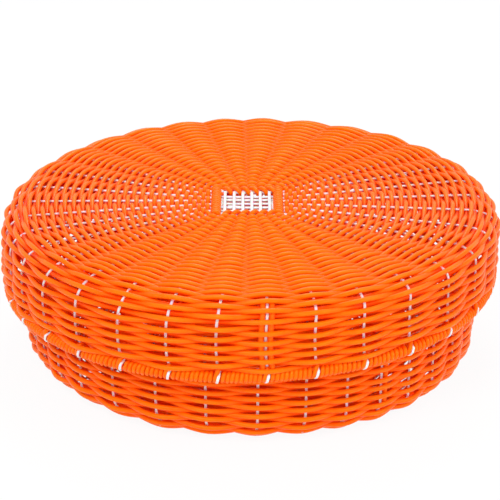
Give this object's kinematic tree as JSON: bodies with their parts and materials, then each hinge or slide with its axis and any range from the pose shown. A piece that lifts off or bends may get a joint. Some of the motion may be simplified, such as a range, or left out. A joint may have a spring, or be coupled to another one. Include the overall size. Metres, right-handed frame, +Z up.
{
  "type": "tortilla warmer",
  "caption": "Round flat woven basket for keeping tortillas warm: a shallow cord-woven bowl under a deep lift-off lid, with flat stakes crossing at the centre and a whipped rim.",
  "frame": {"origin": "centre of the underside, on the surface that the basket stands on", "axes": "+Z up through the centre of the basket and its lid; -Y towards the viewer in the picture, +X to the right"},
  "size_m": [0.2506, 0.2506, 0.0791],
  "materials": {
    "orange_cord": "satin extruded plastic cord",
    "white_stake": "satin white plastic strip",
    "rim_core": "plain plastic, hidden inside the rim"
  },
  "bodies": {
    "base": {"base_stakes_across": "white_stake", "base_stakes_along": "white_stake", "base_center_binding": "orange_cord", "base_floor_weave": "orange_cord", "base_corner_weave": "orange_cord", "base_wall_weave": "orange_cord", "base_rim_hoop": "rim_core", "base_rim_whipping": "orange_cord"},
    "lid": {"lid_stakes_across": "white_stake", "lid_stakes_along": "white_stake", "lid_center_binding": "orange_cord", "lid_top_weave": "orange_cord", "lid_shoulder_weave": "orange_cord", "lid_wall_weave": "orange_cord", "lid_rim_hoop": "rim_core", "lid_rim_whipping": "orange_cord"}
  },
  "joints": [
    {"name": "lid_lift", "type": "slide", "parent": "base", "child": "lid", "axis": [0, 0, 1], "range_m": [0, 0.08]}
  ]
}
